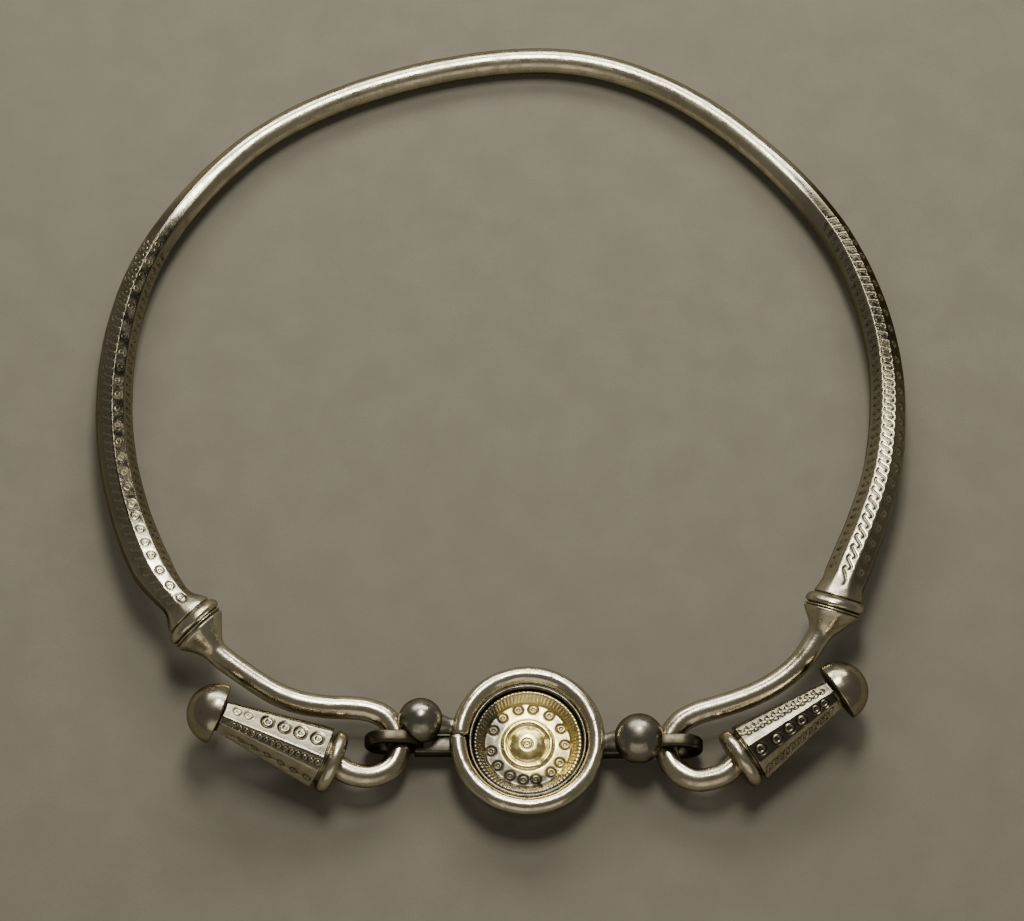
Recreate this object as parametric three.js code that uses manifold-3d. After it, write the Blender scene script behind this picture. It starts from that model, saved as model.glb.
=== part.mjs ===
// A silver neck ring of four pieces, lying flat with its clasp at the front (-Y).
// The hoop is one forged rod: round at the back, eight-sided and swelling along the arms,
// with a collar, a hook and a domed terminal at each end. A round bezel links the hooks.
// Millimetres, +Z up, origin under the middle of the whole ring on the surface it lies on.
import * as THREE from 'three';
import { mergeVertices } from 'three/addons/utils/BufferGeometryUtils.js';
import Module from 'manifold-3d';

const wasm = await Module();
wasm.setup();

// Fit between neighbouring pieces
const gap = 0.3;

// Hoop: radius of the rod's centre line at bearings anticlockwise from +X, in degrees,
// with the rod's width there. The ring is a little out of round, as hammered.
const hoopCentre = { x: 0.2, y: 3.4 };
const rightArm = [
  { bearing: -31, radius: 85.2, width: 9.1 },
  { bearing: -12, radius: 84.1, width: 8.2 },
  { bearing: 8, radius: 84.1, width: 7.1 },
  { bearing: 28, radius: 84.5, width: 6.3 },
];
const backRod = [
  { bearing: 48, radius: 84.8, width: 6.0 },
  { bearing: 66, radius: 86.6, width: 5.8 },
  { bearing: 82, radius: 86.6, width: 5.7 },
  { bearing: 106, radius: 83.8, width: 5.7 },
  { bearing: 130, radius: 84.7, width: 5.6 },
];
const leftArm = [
  { bearing: 154, radius: 85.2, width: 6.3 },
  { bearing: 171, radius: 84.6, width: 7.3 },
  { bearing: 190, radius: 84.3, width: 7.9 },
  { bearing: 209, radius: 85.0, width: 8.6 },
];
const leftArmRoll = 12;      // degrees that the left arm's facets turn inward
const edgeWear = 0.985;      // corners of the facets are worn down to this share

// The rod's axis climbs from the back, where the thin rod lies, to the collars, and the
// necks dip from there to the hooks
const backAxis = { y: 89, z: 2.9 };
const frontAxis = { y: -50, z: 11.0 };

// Neck rods and hooks, from the middle of each collar to the ring of its terminal
const neckWidth = 4.9;
const leftHook = [
  [-64.3, -50.7, 11.0], [-59.9, -56.6, 9.8], [-54.8, -60.5, 8.8], [-47.2, -65.1, 7.5],
  [-42.0, -66.9, 6.9], [-36.7, -67.7, 6.5], [-31.4, -67.8, 6.2], [-27.2, -68.4, 6.0],
  [-23.7, -70.2, 5.7], [-21.1, -75.3, 5.3], [-22.9, -80.7, 5.5], [-26.8, -82.8, 6.0],
  [-31.4, -82.4, 6.7], [-35.4, -80.0, 7.1],
];
const rightHook = [
  [70.7, -46.6, 11.0], [67.5, -52.6, 9.8], [63.5, -58.3, 8.7], [59.3, -62.0, 8.0],
  [54.8, -64.6, 7.4], [50.5, -66.3, 6.9], [46.0, -67.7, 6.5], [41.5, -69.0, 6.1],
  [37.7, -71.1, 5.7], [34.9, -76.0, 5.3], [36.6, -80.9, 5.6], [41.0, -83.7, 6.2],
  [46.8, -82.6, 6.9], [50.4, -79.3, 7.1],
];

// Collar, as distance along the rod from its middle (arm side negative) and radius
const collarProfile = [
  [-2.3, 5.35], [-2.1, 5.85], [-1.0, 6.2], [0, 6.4], [0.25, 6.2], [0.35, 5.75], [0.55, 5.75],
  [0.65, 6.1], [1.15, 6.0], [1.25, 5.6], [2.4, 5.2], [3.8, 4.5], [5.4, 3.5], [7.0, 2.7],
  [8.4, 2.45],
];
const bandEnd = 1.25;        // past here the collar is a cone that runs out into the neck
const armFlare = 5;          // the plain stretch of arm that widens into the collar

// Which way each collar faces, toward its neck: bearing in plan and dip below the level
const leftCollar = { bearing: -45.5, dip: 13 };
const rightCollar = { bearing: -107, dip: 19 };

// Terminals: ring, groove, eight-sided taper and domed cap. The two kinds of facet are
// given by their distance from the axis at the thick end.
const ringRadius = 6.8;
const ringProfile = [
  [-1.7, 4.6], [-1.6, 5.6], [-1.1, 6.5], [-0.5, ringRadius], [0.4, ringRadius], [1.0, 6.5],
  [1.35, 6.0], [1.5, 5.7], [1.95, 5.7],
];
const taperStart = 2.1;
const narrowShare = 0.5;     // size of the taper's narrow end against its thick end
const capRadius = 6.4;
const capHeight = 6.4;
const capNeck = 0.9;         // depth of the hollow under the cap
const capRim = { drop: 0.1, bevel: 0.3, thick: 0.4 };
const capCrown = 0.35;       // small flat at the top of the cap
const capSteps = 5;
const taperSteps = 3;
const leftTerminal = {
  ring: [-35.4, -80.0, 7.1], cap: [-58.6, -71.8, 13.2],
  wide: 5.85, narrow: 6.6, roll: 17,
};
const rightTerminal = {
  ring: [50.4, -79.3, 7.1], cap: [70.5, -66.1, 10.8],
  wide: 6.05, narrow: 6.35, roll: 66,
};

// Bezel cup with its lugs
const bezelCentre = { x: 5.8, y: -75.6 };
const cupBaseRadius = 12.5;
const cupTopRadius = 13.0;
const cupWallTop = 5.85;
const cupInnerRadius = 11.1;
const cupFloor = 1.2;
const lipRadius = 12.25;     // thin lip that stands inside the wire ring
const lipInnerRadius = 11.75;
const lipTop = 8.0;
const wireRadius = 1.83;
const wireRing = 14.4;
const wireHeight = 8.0;
const eyeHeight = 5.4;       // height of the eyes' middle
const eyeOuter = 4.7;
const eyeBand = 1.75;
const eyeThickness = 2.8;
const eyeChamfer = 0.4;
const strapHeights = [1.6, 5.6];
const lugs = [
  { side: -1, ball: [-16.7, -71.2, 8.0], ballRadius: 4.7, eyeTip: -28.5, eyeEnd: -15.5,
    holeEnd: -18.5, eyeY: -75.1, strapY: -75.5, strapEnd: -18.1 },
  { side: 1, ball: [29.1, -75.2, 8.0], ballRadius: 5.25, eyeTip: 42.6, eyeEnd: 30.0,
    holeEnd: 32.5, eyeY: -76.0, strapY: -75.8, strapEnd: 32.2 },
];
const strapWidth = 3.8;
const neckBead = 2.3;        // radius of the short neck between cup and ball
const neckRoot = 0.4;        // how far its middle starts inside the cup's wall
const neckDrop = 1.0;        // and below the top of that wall
const neckLean = 0.3;        // share of the way from the ball's line to the cup's
const strapRoot = 1.0;       // how far the straps run into the wall

// Gilt disc, as radius and height from the middle of its thin underside out and back in
// over its upper face
const discOutline = [
  [0, 4.4], [9.3, 4.4], [10.3, 5.8], [11.5, 6.15], [11.5, 6.5], [11.2, 6.85], [10.7, 6.85],
  [10.2, 6.4], [9.0, 5.0], [5.6, 5.05], [5.1, 5.5], [4.5, 5.5], [4.2, 5.2], [3.8, 5.25],
  [3.0, 5.85], [1.6, 6.35], [0, 6.5],
];

const sides = 16;
const sideAngle = 2 * Math.PI / sides;
const lathedSides = 36;
const wireSides = 10;
const ballSides = { round: 16, rows: 9 };
const hookStep = 2.9;
const hoopStep = 7.4;
const stepMargin = 0.5;      // kept clear between a collar's last row and the next
const collarStart = collarProfile[0][0];
const collarEnd = collarProfile.at(-1)[0];

const radians = THREE.MathUtils.degToRad;
const lerp = THREE.MathUtils.lerp;

// Linear reading of a list of [position, value] pairs
function readOff(list, at) {
  if (at <= list[0][0]) {
    return list[0][1];
  }
  for (let i = 1; i < list.length; i += 1) {
    const [from, low] = list[i - 1];
    const [to, high] = list[i];
    if (at <= to) {
      return lerp(low, high, (at - from) / (to - from));
    }
  }
  return list[list.length - 1][1];
}

// Merged vertices and no collapsed triangles, ready for joining and cutting
function closedBody(geometry) {
  const bare = new THREE.BufferGeometry();
  bare.setAttribute('position', geometry.getAttribute('position').clone());
  if (geometry.index) {
    bare.setIndex(geometry.index.clone());
  }
  const merged = mergeVertices(bare, 1e-4);
  const kept = [];
  const index = merged.index.array;
  for (let i = 0; i < index.length; i += 3) {
    const [a, b, c] = [index[i], index[i + 1], index[i + 2]];
    if (a !== b && b !== c && c !== a) {
      kept.push(a, b, c);
    }
  }
  merged.setIndex(kept);
  return merged;
}

function solid(geometry) {
  const body = closedBody(geometry);
  return new wasm.Manifold(new wasm.Mesh({
    numProp: 3,
    vertProperties: new Float32Array(body.getAttribute('position').array),
    triVerts: new Uint32Array(body.index.array),
  }));
}

function geometryOf(manifold) {
  const mesh = manifold.getMesh();
  const geometry = new THREE.BufferGeometry();
  geometry.setAttribute('position', new THREE.BufferAttribute(mesh.vertProperties, 3));
  geometry.setIndex(new THREE.BufferAttribute(mesh.triVerts, 1));
  return geometry;
}

// Angle and radius of one of the sixteen points of a cross-section. Even points are the
// middles of the facets and odd ones their corners; wide and narrow facets take turns.
function sectionPoint(index, form) {
  const even = index * sideAngle;
  if (form.facets === 0) {
    return { angle: even + form.roll, radius: form.radius };
  }
  const corner = Math.atan2(form.narrow * Math.SQRT2 - form.wide, form.wide);
  const quarter = Math.floor(index / 4) * Math.PI / 2;
  const cornerRadius = edgeWear * form.wide / Math.cos(corner);
  const faceted = [
    { angle: quarter, radius: form.wide },
    { angle: quarter + corner, radius: cornerRadius },
    { angle: quarter + Math.PI / 4, radius: form.narrow },
    { angle: quarter + Math.PI / 2 - corner, radius: cornerRadius },
  ][index % 4];
  return {
    angle: lerp(even, faceted.angle, form.facets) + form.roll,
    radius: lerp(form.radius, faceted.radius, form.facets),
  };
}

// A cylinder whose rows are carried to the stations of a rod and shaped to their sections
function sweep(stations) {
  const rows = stations.length - 1;
  const blank = closedBody(new THREE.CylinderGeometry(1, 1, 1, sides, rows));
  const position = blank.getAttribute('position');
  const vertex = new THREE.Vector3();
  const up = new THREE.Vector3(0, 0, 1);
  for (let i = 0; i < position.count; i += 1) {
    vertex.fromBufferAttribute(position, i);
    const station = stations[Math.round((0.5 - vertex.y) * rows)];
    const turn = Math.round(-Math.atan2(vertex.x, vertex.z) / sideAngle);
    const point = sectionPoint((turn + sides) % sides, station.form);
    const out = Math.hypot(vertex.x, vertex.z) > 0.5 ? point.radius : 0;
    const side = new THREE.Vector3().crossVectors(up, station.along).normalize();
    const top = new THREE.Vector3().crossVectors(station.along, side);
    vertex.copy(station.at)
      .addScaledVector(side, out * Math.cos(point.angle))
      .addScaledVector(top, out * Math.sin(point.angle));
    position.setXYZ(i, vertex.x, vertex.y, vertex.z);
  }
  return blank;
}

function axisHeight(y) {
  return THREE.MathUtils.mapLinear(y, backAxis.y, frontAxis.y, backAxis.z, frontAxis.z);
}

// Points of the hoop, from the left terminal's ring round the back to the right one's
function hoopPoints() {
  const round = (list, facets, roll) => list.map(({ bearing, radius, width }) => {
    const x = hoopCentre.x + radius * Math.cos(radians(bearing));
    const y = hoopCentre.y + radius * Math.sin(radians(bearing));
    return { at: new THREE.Vector3(x, y, axisHeight(y)), width, facets, roll };
  });
  const hook = (list) => list.map((point) => (
    { at: new THREE.Vector3(...point), width: neckWidth, facets: 0, roll: 0 }));
  return [
    ...hook(leftHook).reverse(),
    ...round(leftArm, 1, radians(leftArmRoll)).reverse(),
    ...round(backRod, 0, 0).reverse(),
    ...round(rightArm, 1, 0).reverse(),
    ...hook(rightHook),
  ];
}

// Unit vector that a collar faces, from its arm to its neck
function facing(collar) {
  const level = Math.cos(radians(collar.dip));
  return new THREE.Vector3(
    level * Math.cos(radians(collar.bearing)),
    level * Math.sin(radians(collar.bearing)),
    -Math.sin(radians(collar.dip)),
  );
}

// The rod from ring to ring. Extra width all round gives the room that its links leave it.
function rodStations(extra) {
  const points = hoopPoints();
  const last = points.length - 1;
  const path = new THREE.CatmullRomCurve3(points.map((point) => point.at));
  path.arcLengthDivisions = 1500;
  const lengths = path.getLengths();
  const total = path.getLength();
  const collars = [
    { index: leftHook.length - 1, sign: -1, axis: facing(leftCollar) },
    { index: last - rightHook.length + 1, sign: 1, axis: facing(rightCollar) },
  ];
  for (const collar of collars) {
    collar.middle = lengths[Math.round(collar.index / last * path.arcLengthDivisions)];
    collar.distance = (mark) => collar.sign * (mark - collar.middle);
  }
  const marks = [];
  let along = 0;
  while (along < total) {
    const mark = along;
    if (collars.every((collar) => {
      const s = collar.distance(mark);
      return s < collarStart - armFlare || s > collarEnd + stepMargin;
    })) {
      marks.push(mark);
    }
    along += path.getPointAt(mark / total).y < frontAxis.y ? hookStep : hoopStep;
  }
  for (const { middle, sign } of collars) {
    marks.push(middle + sign * (collarStart - armFlare));
    collarProfile.forEach(([s]) => marks.push(middle + sign * s));
  }
  marks.push(total);
  marks.sort((a, b) => a - b);
  return marks.map((mark) => {
    const t = path.getUtoTmapping(mark / total);
    const index = Math.min(Math.floor(t * last), last - 1);
    const share = t * last - index;
    const [before, after] = [points[index], points[index + 1]];
    const direction = path.getTangent(t);
    let radius = lerp(before.width, after.width, share) / 2;
    let facets = lerp(before.facets, after.facets, share);
    for (const collar of collars) {
      const s = collar.distance(mark);
      const lean = readOff([
        [collarStart - armFlare, 0], [collarStart, 1], [bandEnd, 1], [collarEnd, 0],
      ], s);
      direction.lerp(collar.axis.clone().multiplyScalar(collar.sign), lean).normalize();
      if (s >= collarStart - 1e-6 && s <= collarEnd) {
        radius = readOff(collarProfile, s);
        facets = 0;
      } else if (s > collarStart - armFlare - 1e-6 && s < 0) {
        facets = 1;
      }
    }
    const roll = before.facets > 0 ? before.roll : after.roll;
    const size = radius + extra;
    return {
      at: path.getPoint(t),
      along: direction,
      form: { radius: size, wide: size, narrow: size, facets, roll },
    };
  });
}

// Ring, taper and cap in one sweep along the terminal's straight axis
function terminalStations(terminal) {
  const start = new THREE.Vector3(...terminal.ring);
  const end = new THREE.Vector3(...terminal.cap);
  const along = end.clone().sub(start).normalize();
  const length = start.distanceTo(end);
  const station = (s, radius, facets, share) => ({
    at: start.clone().addScaledVector(along, s),
    along,
    form: {
      radius,
      facets,
      wide: terminal.wide * share,
      narrow: terminal.narrow * share,
      roll: radians(terminal.roll),
    },
  });
  const rows = ringProfile.map(([s, radius]) => station(s, radius, 0, 1));
  const taperEnd = length - capNeck;
  for (let i = 0; i <= taperSteps; i += 1) {
    const share = lerp(1, narrowShare, i / taperSteps);
    const s = lerp(taperStart, taperEnd, i / taperSteps);
    rows.push(station(s, share * terminal.wide, 1, share));
  }
  rows.push(station(length - capRim.drop, capRadius - capRim.bevel, 0, 1));
  const domeStart = length + capRim.thick;
  for (let i = 0; i < capSteps; i += 1) {
    const turn = i / capSteps * Math.PI / 2;
    rows.push(station(domeStart + capHeight * Math.sin(turn), capRadius * Math.cos(turn), 0, 1));
  }
  rows.push(station(domeStart + capHeight, capCrown, 0, 1));
  return rows;
}

function hoop() {
  return geometryOf(solid(sweep(rodStations(0)))
    .add(solid(sweep(terminalStations(leftTerminal))))
    .add(solid(sweep(terminalStations(rightTerminal)))));
}

// A lathed ring or dish whose outline closes on itself or on the axis
function lathed(outline, centre) {
  const points = outline.map(([radius, height]) => new THREE.Vector2(radius, height));
  const turned = new THREE.LatheGeometry(points, lathedSides);
  turned.rotateX(Math.PI / 2);
  turned.translate(centre.x, centre.y, 0);
  return turned;
}

function wireRingShape(radius) {
  const ring = new THREE.TorusGeometry(wireRing, radius, wireSides, lathedSides);
  ring.translate(bezelCentre.x, bezelCentre.y, wireHeight);
  return ring;
}

function cupShape() {
  return lathed([
    [0, 0], [cupBaseRadius - 0.5, 0], [cupBaseRadius, 0.5], [cupTopRadius, cupWallTop],
    [lipRadius, cupWallTop], [lipRadius, lipTop], [lipInnerRadius, lipTop],
    [lipInnerRadius, cupWallTop], [cupInnerRadius, cupWallTop], [cupInnerRadius, cupFloor],
    [0, cupFloor],
  ], bezelCentre);
}

// The slot-shaped outline of an eye, or of its hole, in the upright plane of the lug
function slotOutline(outline, left, right, radius) {
  outline.moveTo(left + radius, -radius);
  outline.lineTo(right - radius, -radius);
  outline.absarc(right - radius, 0, radius, -Math.PI / 2, Math.PI / 2, false);
  outline.lineTo(left + radius, radius);
  outline.absarc(left + radius, 0, radius, Math.PI / 2, 3 * Math.PI / 2, false);
  return outline;
}

function eye(lug) {
  const inner = eyeOuter - eyeBand;
  const [left, right] = [lug.eyeTip, lug.eyeEnd].sort((a, b) => a - b);
  const tip = lug.eyeTip - lug.side * eyeBand;
  const [holeLeft, holeRight] = [tip, lug.holeEnd].sort((a, b) => a - b);
  const outline = slotOutline(new THREE.Shape(), left, right, eyeOuter);
  outline.holes.push(slotOutline(new THREE.Path(), holeLeft, holeRight, inner));
  const band = new THREE.ExtrudeGeometry(outline, {
    depth: eyeThickness - 2 * eyeChamfer,
    curveSegments: 6,
    bevelThickness: eyeChamfer,
    bevelSize: eyeChamfer,
    bevelOffset: -eyeChamfer,
    bevelSegments: 1,
  });
  band.rotateX(Math.PI / 2);
  band.translate(0, lug.eyeY + eyeThickness / 2 - eyeChamfer, eyeHeight);
  return band;
}

function strap(lug) {
  const wall = bezelCentre.x + lug.side * (cupBaseRadius - strapRoot);
  const [low, high] = strapHeights;
  const bar = new THREE.BoxGeometry(Math.abs(lug.strapEnd - wall), strapWidth, high - low);
  bar.translate((lug.strapEnd + wall) / 2, lug.strapY, (low + high) / 2);
  return bar;
}

function ball(lug) {
  const sphere = new THREE.SphereGeometry(lug.ballRadius, ballSides.round, ballSides.rows);
  sphere.rotateX(Math.PI / 2);
  sphere.translate(...lug.ball);
  return sphere;
}

// Short neck from under the wire ring to the ball
function neck(lug) {
  const wall = bezelCentre.x + lug.side * (cupTopRadius - neckRoot);
  const root = new THREE.Vector3(
    wall,
    lerp(lug.ball[1], bezelCentre.y, neckLean),
    cupWallTop - neckDrop,
  );
  const middle = new THREE.Vector3(...lug.ball);
  const length = root.distanceTo(middle);
  const bead = new THREE.CylinderGeometry(neckBead, neckBead, length, ballSides.round);
  const aim = middle.clone().sub(root).normalize();
  bead.applyQuaternion(new THREE.Quaternion().setFromUnitVectors(new THREE.Vector3(0, 1, 0), aim));
  bead.translate(...root.add(middle).multiplyScalar(0.5));
  return bead;
}

function bezelCup() {
  let cup = solid(cupShape());
  for (const lug of lugs) {
    cup = cup.add(solid(neck(lug))).add(solid(ball(lug))).add(solid(strap(lug)));
    cup = cup.add(solid(eye(lug)));
  }
  return geometryOf(cup
    .subtract(solid(sweep(rodStations(gap))))
    .subtract(solid(wireRingShape(wireRadius + gap))));
}

const silver = { color: 0xb9b3a3, roughness: 0.32, metalness: 1 };
const tarnished = { color: 0x8d877a, roughness: 0.4, metalness: 1 };
const gilt = { color: 0xc9ad62, roughness: 0.3, metalness: 1 };

function piece(name, geometry, finish) {
  const mesh = new THREE.Mesh(closedBody(geometry), new THREE.MeshStandardMaterial(finish));
  mesh.name = name;
  return mesh;
}

const torc = new THREE.Group();
torc.add(piece('hoop', hoop(), silver));
torc.add(piece('bezel_cup', bezelCup(), tarnished));
torc.add(piece('bezel_rim', wireRingShape(wireRadius), silver));
torc.add(piece('gilt_disc', lathed(discOutline, bezelCentre), gilt));

export default torc;
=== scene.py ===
import math
import random

import bmesh
import bpy
import numpy as np
from mathutils import Matrix, Vector, noise


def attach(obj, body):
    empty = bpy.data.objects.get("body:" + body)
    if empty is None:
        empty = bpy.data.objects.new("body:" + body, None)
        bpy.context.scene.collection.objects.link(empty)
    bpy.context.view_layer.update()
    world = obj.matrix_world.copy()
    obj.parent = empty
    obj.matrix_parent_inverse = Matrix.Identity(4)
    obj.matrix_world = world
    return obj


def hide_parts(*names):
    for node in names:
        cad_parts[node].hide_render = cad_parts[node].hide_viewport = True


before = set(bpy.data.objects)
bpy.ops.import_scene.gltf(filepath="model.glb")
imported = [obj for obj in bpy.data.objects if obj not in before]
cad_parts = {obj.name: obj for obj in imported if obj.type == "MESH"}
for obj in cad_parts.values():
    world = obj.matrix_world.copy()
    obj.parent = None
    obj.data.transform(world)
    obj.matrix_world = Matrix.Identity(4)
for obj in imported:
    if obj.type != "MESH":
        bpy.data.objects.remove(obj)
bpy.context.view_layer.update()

mm = 0.001

view = {
    "place": (0.0025, -0.323285, 0.741404),
    "tilt": 23.0,
    "lens": 129.608,
    "sensor": 36.0,
    "nearest": 0.05,
}
studio = {
    "floor": (0.225, 0.211, 0.174),
    "floorSize": 5.0,
    # scales of the paper's unevenness, its tones as shares of the floor colour, depth of its tooth
    "paper": {"mottle": 90.0, "broad": 6.0, "grain": 2300.0, "tones": (0.93, 1.05, 0.8), "tooth": 0.0004},
    "air": (1.0, 0.93, 0.78),
    "airStrength": 0.125,
    # name, place, point it faces, width, depth, brightness, colour
    "lamps": [
        ("backBox", (0.0, 0.53, 0.40), (0.0, 0.0, 0.0), 0.7, 0.18, 8.0, (1.0, 0.965, 0.86)),
        ("topBox", (0.03, 0.23, 0.60), (0.0, 0.0, 0.0), 0.16, 0.24, 21.0, (1.0, 0.965, 0.86)),
        ("frontFill", (0.0, -0.62, 0.27), (0.0, 0.0, 0.0), 0.8, 0.42, 0.6, (1.0, 0.92, 0.76)),
    ],
}


def setCamera():
    data = bpy.data.cameras.new("camera")
    data.sensor_fit = "HORIZONTAL"
    data.sensor_width = view["sensor"]
    data.lens = view["lens"]
    data.clip_start = view["nearest"]
    camera = bpy.data.objects.new("camera", data)
    camera.location = view["place"]
    camera.rotation_euler = (math.radians(view["tilt"]), 0.0, 0.0)
    bpy.context.scene.collection.objects.link(camera)
    bpy.context.scene.camera = camera


def setLamps():
    for name, place, aim, width, depth, glow, tint in studio["lamps"]:
        data = bpy.data.lights.new(name, "AREA")
        data.shape = "RECTANGLE"
        data.size = width
        data.size_y = depth
        data.energy = glow * math.pi * width * depth
        data.color = tint
        lamp = bpy.data.objects.new(name, data)
        lamp.location = place
        lamp.rotation_euler = (Vector(aim) - Vector(place)).to_track_quat("-Z", "Y").to_euler()
        bpy.context.scene.collection.objects.link(lamp)
    world = bpy.data.worlds.new("studioAir")
    world.use_nodes = True
    air = world.node_tree.nodes["Background"]
    air.inputs["Color"].default_value = (*studio["air"], 1.0)
    air.inputs["Strength"].default_value = studio["airStrength"]
    bpy.context.scene.world = world


class Board:
    # a material's node tree with short ways to add to it
    def __init__(self, name):
        self.material = bpy.data.materials.new(name)
        self.material.use_nodes = True
        self.tree = self.material.node_tree
        self.shader = self.tree.nodes["Principled BSDF"]

    def node(self, kind, **values):
        made = self.tree.nodes.new(kind)
        for key, value in values.items():
            setattr(made, key, value)
        return made

    def feed(self, target, value):
        if isinstance(value, (int, float)):
            target.default_value = value
        elif isinstance(value, tuple):
            target.default_value = value if len(value) == len(target.default_value) else (*value, 1.0)
        else:
            self.tree.links.new(value, target)

    def math(self, operation, a, b, clamp=False):
        made = self.node("ShaderNodeMath", operation=operation, use_clamp=clamp)
        self.feed(made.inputs[0], a)
        self.feed(made.inputs[1], b)
        return made.outputs[0]

    def mix(self, share, a, b):
        made = self.node("ShaderNodeMix", data_type="RGBA")
        self.feed(made.inputs[0], share)
        self.feed(made.inputs[6], a)
        self.feed(made.inputs[7], b)
        return made.outputs[2]

    def ramp(self, value, low, high, start=0.0, end=1.0):
        made = self.node("ShaderNodeMapRange", interpolation_type="SMOOTHSTEP")
        self.feed(made.inputs["Value"], value)
        made.inputs["From Min"].default_value = low
        made.inputs["From Max"].default_value = high
        made.inputs["To Min"].default_value = start
        made.inputs["To Max"].default_value = end
        return made.outputs["Result"]

    def place(self, scale=(1.0, 1.0, 1.0), turn=(0.0, 0.0, 0.0)):
        spot = self.node("ShaderNodeTexCoord")
        moved = self.node("ShaderNodeMapping")
        self.tree.links.new(spot.outputs["Object"], moved.inputs["Vector"])
        moved.inputs["Scale"].default_value = scale
        moved.inputs["Rotation"].default_value = turn
        return moved.outputs["Vector"]

    def noise(self, scale, detail, where=None, rough=0.55):
        made = self.node("ShaderNodeTexNoise")
        self.feed(made.inputs["Vector"], where or self.place())
        made.inputs["Scale"].default_value = scale
        made.inputs["Detail"].default_value = detail
        made.inputs["Roughness"].default_value = rough
        return made.outputs["Fac"]

    def cells(self, scale):
        made = self.node("ShaderNodeTexVoronoi")
        self.feed(made.inputs["Vector"], self.place())
        made.inputs["Scale"].default_value = scale
        return made.outputs["Distance"]

    def mark(self, name):
        return self.node("ShaderNodeAttribute", attribute_name=name).outputs["Fac"]

    def bump(self, height, distance, strength=1.0, before=None):
        made = self.node("ShaderNodeBump")
        made.inputs["Distance"].default_value = distance
        made.inputs["Strength"].default_value = strength
        self.feed(made.inputs["Height"], height)
        if before is not None:
            self.feed(made.inputs["Normal"], before)
        return made.outputs["Normal"]


def floorFinish():
    paper = studio["paper"]
    board = Board("studioPaper")
    mottle = board.noise(paper["mottle"], 6.0)
    broad = board.noise(paper["broad"], 2.0)
    low, high, dark = (tuple(share * v for v in studio["floor"]) for share in paper["tones"])
    tone = board.mix(board.ramp(mottle, 0.3, 0.7), low, high)
    grain = board.noise(paper["grain"], 2.0)
    tone = board.mix(board.ramp(grain, 0.35, 0.75, 0.0, 0.45), tone, dark)
    tone = board.mix(board.ramp(broad, 0.35, 0.65, 0.0, 0.3), tone, low)
    board.feed(board.shader.inputs["Base Color"], tone)
    board.shader.inputs["Roughness"].default_value = 0.85
    board.shader.inputs["Specular IOR Level"].default_value = 0.2
    board.feed(board.shader.inputs["Normal"], board.bump(mottle, paper["tooth"], 0.4))
    return board.material


def makeFloor():
    bm = bmesh.new()
    bmesh.ops.create_grid(bm, x_segments=2, y_segments=2, size=studio["floorSize"] / 2)
    mesh = bpy.data.meshes.new("studioFloor")
    bm.to_mesh(mesh)
    bm.free()
    mesh.materials.append(floorFinish())
    floor = bpy.data.objects.new("studioFloor", mesh)
    bpy.context.scene.collection.objects.link(floor)


# each look's edge colour darkens the grazing reflection, a painted shade along the silhouettes
silverLooks = {
    "worn": {
        "clean": (0.86, 0.80, 0.63), "warm": (0.62, 0.56, 0.42), "dirtAndShade": (0.055, 0.044, 0.022),
        "veil": (0.36, 0.32, 0.23), "veilShare": 0.5, "tarnish": (0.15, 0.14, 0.10),
        "gloss": 0.17, "dull": 0.31, "edge": (0.5, 0.45, 0.36),
    },
    "bright": {
        "clean": (0.78, 0.72, 0.555), "warm": (0.58, 0.52, 0.38), "dirtAndShade": (0.055, 0.044, 0.022),
        "veil": (0.31, 0.275, 0.195), "veilShare": 0.5, "tarnish": (0.062, 0.057, 0.042),
        "gloss": 0.18, "dull": 0.33, "edge": (0.5, 0.45, 0.36),
    },
    "dark": {
        "clean": (0.36, 0.345, 0.305), "warm": (0.29, 0.265, 0.205), "dirtAndShade": (0.045, 0.037, 0.022),
        "veil": (0.19, 0.175, 0.135), "veilShare": 0.6, "tarnish": (0.12, 0.108, 0.08),
        "gloss": 0.2, "dull": 0.4, "edge": (0.4, 0.37, 0.3),
    },
}


# scales of the unevenness that all the silver shares, and depths of it in metres
silverGrain = {
    "broad": 42.0, "fine": 420.0, "speck": 1500.0, "scratch": 60.0, "pits": 330.0,
    "scratchStretch": (1.0, 9.0, 3.0), "scratchTurn": (0.3, 0.2, 0.7),
    "dents": 0.0004, "marks": 0.00006,
}


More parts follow.
